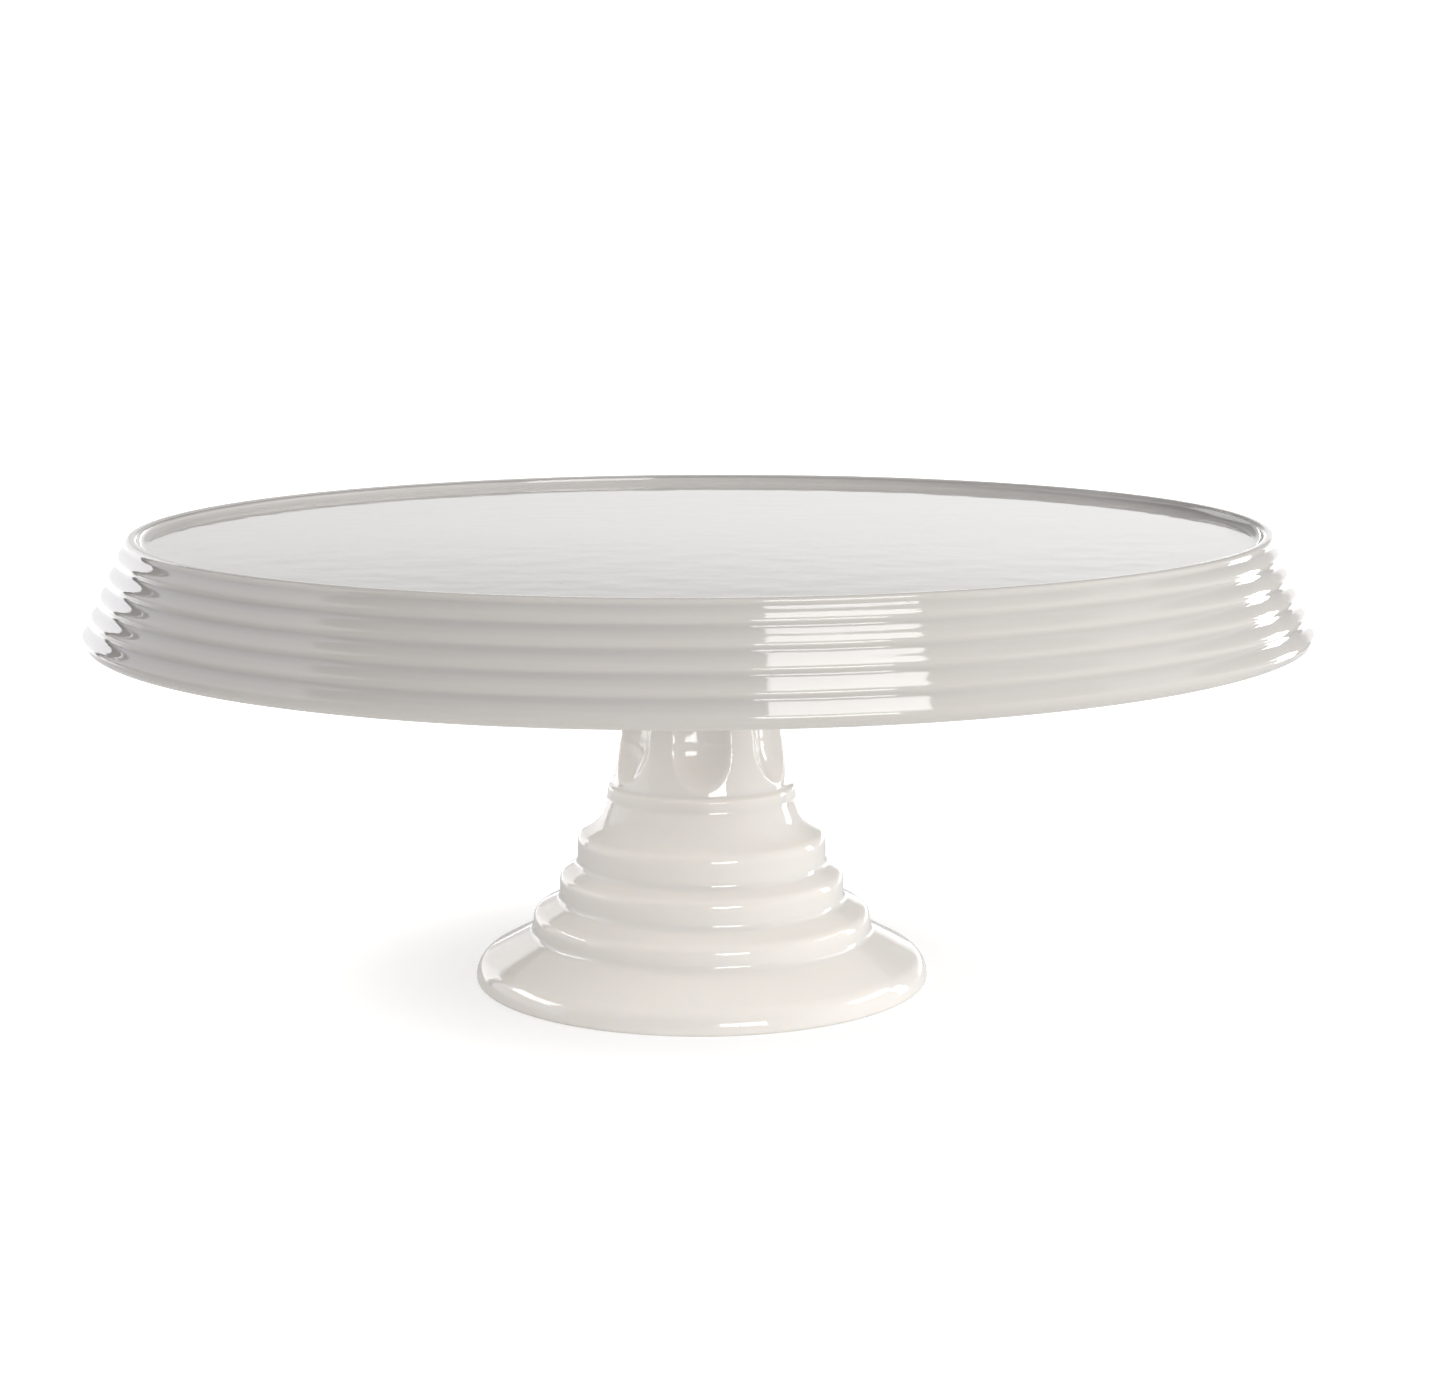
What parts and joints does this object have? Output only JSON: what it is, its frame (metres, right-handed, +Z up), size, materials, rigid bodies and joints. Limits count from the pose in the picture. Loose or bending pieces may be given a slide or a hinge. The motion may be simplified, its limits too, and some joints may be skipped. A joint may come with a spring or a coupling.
{
  "type": "cake stand",
  "caption": "Footed porcelain cake stand: a rimmed round plate with a ribbed skirt on a hollow, fluted and stepped pedestal foot.",
  "frame": {"origin": "centre of the foot ring, on the surface the stand rests on", "axes": "+Z up along the stand's axis; one flute of the stem faces -Y"},
  "size_m": [0.32, 0.32, 0.1218],
  "materials": {
    "plate_glaze": "glossy white glaze",
    "pedestal_glaze": "glossy white glaze, foot ring left unglazed",
    "seam_glaze": "glossy white glaze pooled in the seam"
  },
  "bodies": {
    "root": {"plate": "plate_glaze", "pedestal": "pedestal_glaze", "slip_seam": "seam_glaze"}
  },
  "joints": []
}
